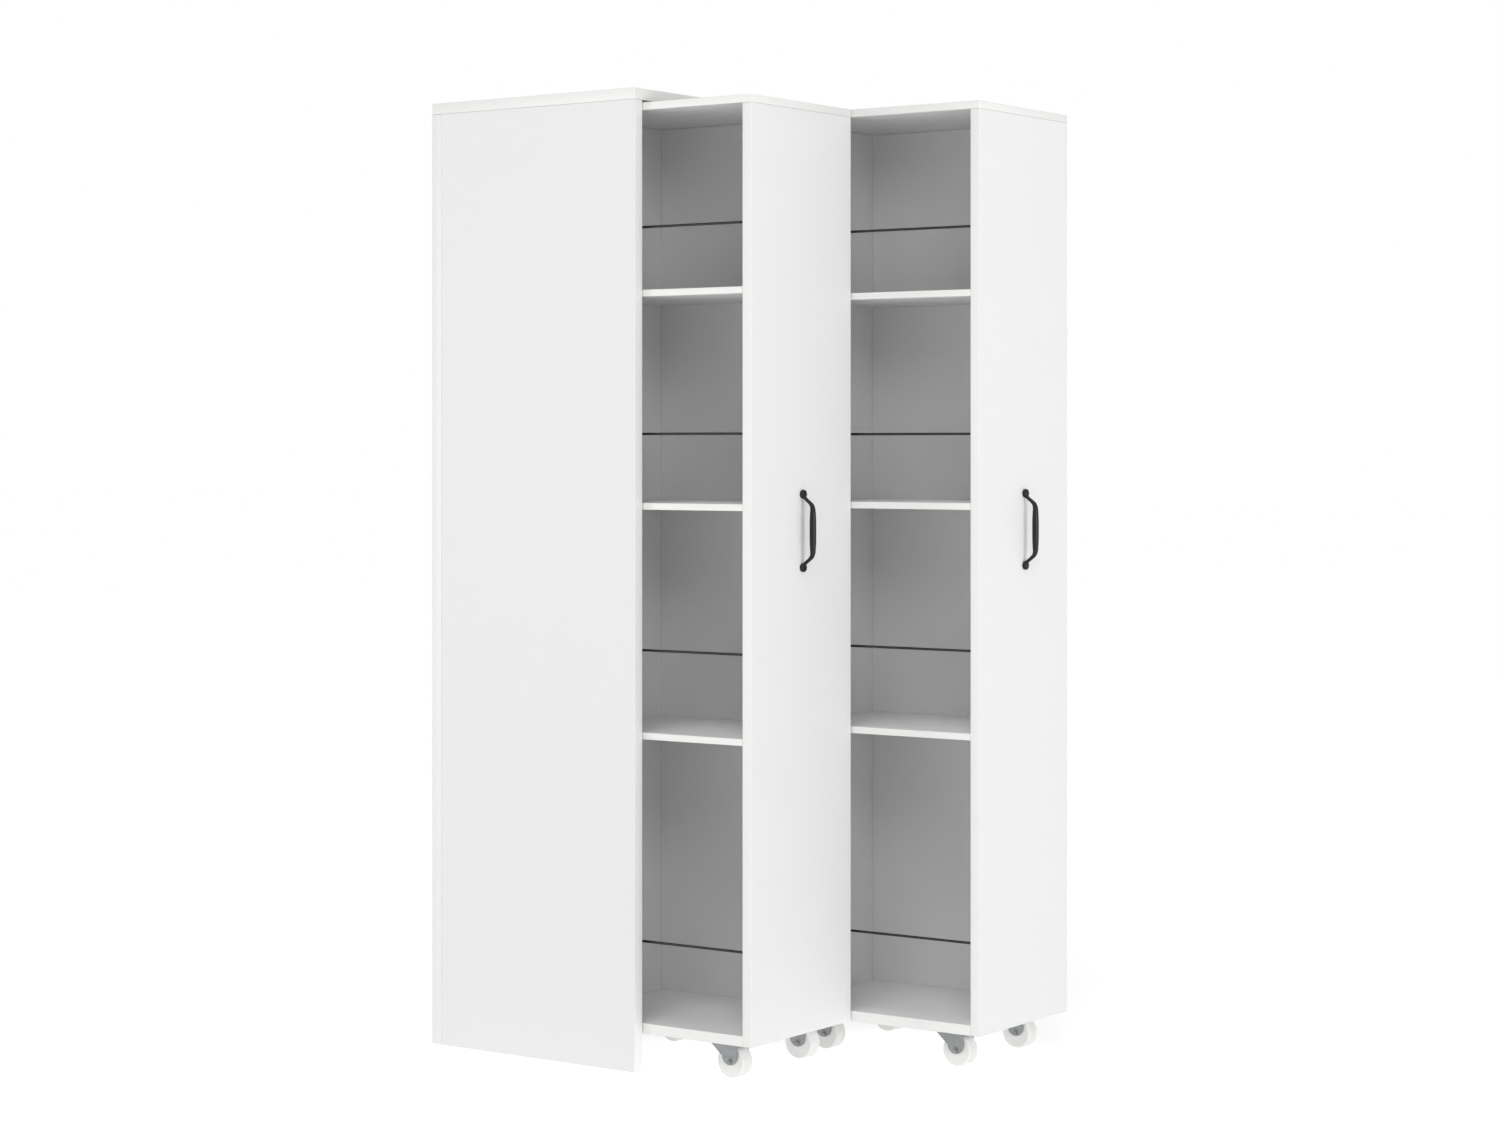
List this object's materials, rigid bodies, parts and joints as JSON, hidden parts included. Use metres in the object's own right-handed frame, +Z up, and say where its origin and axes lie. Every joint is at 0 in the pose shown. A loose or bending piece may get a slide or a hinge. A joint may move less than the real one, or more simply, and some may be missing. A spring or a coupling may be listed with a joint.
{
  "type": "rolling storage tower",
  "caption": "White open-front housing with tall shelf towers side by side that roll out of it on casters, each with one open side, guard rods and a bow handle.",
  "frame": {"origin": "on the floor, at the centre of the bounding box with both towers rolled out as at rest", "axes": "+Z up, +X across the housing's width to the right seen from the front, -Y to the front, the way the towers roll out"},
  "size_m": [0.739, 1.0958, 1.898],
  "materials": {
    "white_board": "white melamine-faced chipboard, satin",
    "black_metal": "black powder coat, satin",
    "zinc_steel": "zinc-plated pressed steel",
    "wheel_plastic": "pale natural nylon, satin"
  },
  "bodies": {
    "housing": {"housing_left_panel": "white_board", "housing_right_panel": "white_board", "housing_top_board": "white_board", "housing_back_panel": "white_board"},
    "tower_1": {"tower_1_top_board": "white_board", "tower_1_bottom_board": "white_board", "tower_1_front_panel": "white_board", "tower_1_rear_panel": "white_board", "tower_1_side_panel": "white_board", "tower_1_shelf_1": "white_board", "tower_1_shelf_2": "white_board", "tower_1_shelf_3": "white_board", "tower_1_guard_rod_1": "black_metal", "tower_1_guard_rod_2": "black_metal", "tower_1_guard_rod_3": "black_metal", "tower_1_guard_rod_4": "black_metal", "tower_1_handle": "black_metal", "tower_1_handle_screw_lower": "zinc_steel", "tower_1_handle_screw_upper": "zinc_steel", "tower_1_caster_fork_fl": "zinc_steel", "tower_1_caster_fork_fr": "zinc_steel", "tower_1_caster_fork_rl": "zinc_steel", "tower_1_caster_fork_rr": "zinc_steel", "tower_1_axle_fl": "zinc_steel", "tower_1_axle_fr": "zinc_steel", "tower_1_axle_rl": "zinc_steel", "tower_1_axle_rr": "zinc_steel"},
    "tower_1_wheel_fl": {"tower_1_wheel_fl": "wheel_plastic"},
    "tower_1_wheel_fr": {"tower_1_wheel_fr": "wheel_plastic"},
    "tower_1_wheel_rl": {"tower_1_wheel_rl": "wheel_plastic"},
    "tower_1_wheel_rr": {"tower_1_wheel_rr": "wheel_plastic"},
    "tower_2": {"tower_2_top_board": "white_board", "tower_2_bottom_board": "white_board", "tower_2_front_panel": "white_board", "tower_2_rear_panel": "white_board", "tower_2_side_panel": "white_board", "tower_2_shelf_1": "white_board", "tower_2_shelf_2": "white_board", "tower_2_shelf_3": "white_board", "tower_2_guard_rod_1": "black_metal", "tower_2_guard_rod_2": "black_metal", "tower_2_guard_rod_3": "black_metal", "tower_2_guard_rod_4": "black_metal", "tower_2_handle": "black_metal", "tower_2_handle_screw_lower": "zinc_steel", "tower_2_handle_screw_upper": "zinc_steel", "tower_2_caster_fork_fl": "zinc_steel", "tower_2_caster_fork_fr": "zinc_steel", "tower_2_caster_fork_rl": "zinc_steel", "tower_2_caster_fork_rr": "zinc_steel", "tower_2_axle_fl": "zinc_steel", "tower_2_axle_fr": "zinc_steel", "tower_2_axle_rl": "zinc_steel", "tower_2_axle_rr": "zinc_steel"},
    "tower_2_wheel_fl": {"tower_2_wheel_fl": "wheel_plastic"},
    "tower_2_wheel_fr": {"tower_2_wheel_fr": "wheel_plastic"},
    "tower_2_wheel_rl": {"tower_2_wheel_rl": "wheel_plastic"},
    "tower_2_wheel_rr": {"tower_2_wheel_rr": "wheel_plastic"}
  },
  "joints": [
    {"name": "tower_1_roll", "type": "slide", "parent": "housing", "child": "tower_1", "axis": [0, -1, 0], "range_m": [-0.256, 0.344]},
    {"name": "tower_1_wheel_fl_spin", "type": "hinge", "parent": "tower_1", "child": "tower_1_wheel_fl", "pos_m": [-0.2865, -0.1451, 0.031], "axis": [1, 0, 0], "continuous": true},
    {"name": "tower_1_wheel_fr_spin", "type": "hinge", "parent": "tower_1", "child": "tower_1_wheel_fr", "pos_m": [-0.0575, -0.1451, 0.031], "axis": [1, 0, 0], "continuous": true},
    {"name": "tower_1_wheel_rl_spin", "type": "hinge", "parent": "tower_1", "child": "tower_1_wheel_rl", "pos_m": [-0.2865, 0.1639, 0.031], "axis": [1, 0, 0], "continuous": true},
    {"name": "tower_1_wheel_rr_spin", "type": "hinge", "parent": "tower_1", "child": "tower_1_wheel_rr", "pos_m": [-0.0575, 0.1639, 0.031], "axis": [1, 0, 0], "continuous": true},
    {"name": "tower_2_roll", "type": "slide", "parent": "housing", "child": "tower_2", "axis": [0, -1, 0], "range_m": [-0.55, 0.05]},
    {"name": "tower_2_wheel_fl_spin", "type": "hinge", "parent": "tower_2", "child": "tower_2_wheel_fl", "pos_m": [0.0575, -0.4391, 0.031], "axis": [1, 0, 0], "continuous": true},
    {"name": "tower_2_wheel_fr_spin", "type": "hinge", "parent": "tower_2", "child": "tower_2_wheel_fr", "pos_m": [0.2865, -0.4391, 0.031], "axis": [1, 0, 0], "continuous": true},
    {"name": "tower_2_wheel_rl_spin", "type": "hinge", "parent": "tower_2", "child": "tower_2_wheel_rl", "pos_m": [0.0575, -0.1301, 0.031], "axis": [1, 0, 0], "continuous": true},
    {"name": "tower_2_wheel_rr_spin", "type": "hinge", "parent": "tower_2", "child": "tower_2_wheel_rr", "pos_m": [0.2865, -0.1301, 0.031], "axis": [1, 0, 0], "continuous": true}
  ],
  "couplings": [
    {"joint": "tower_1_wheel_fl_spin", "follows": "tower_1_roll", "rad_per_m": 32.258},
    {"joint": "tower_1_wheel_fr_spin", "follows": "tower_1_roll", "rad_per_m": 32.258},
    {"joint": "tower_1_wheel_rl_spin", "follows": "tower_1_roll", "rad_per_m": 32.258},
    {"joint": "tower_1_wheel_rr_spin", "follows": "tower_1_roll", "rad_per_m": 32.258},
    {"joint": "tower_2_wheel_fl_spin", "follows": "tower_2_roll", "rad_per_m": 32.258},
    {"joint": "tower_2_wheel_fr_spin", "follows": "tower_2_roll", "rad_per_m": 32.258},
    {"joint": "tower_2_wheel_rl_spin", "follows": "tower_2_roll", "rad_per_m": 32.258},
    {"joint": "tower_2_wheel_rr_spin", "follows": "tower_2_roll", "rad_per_m": 32.258}
  ]
}
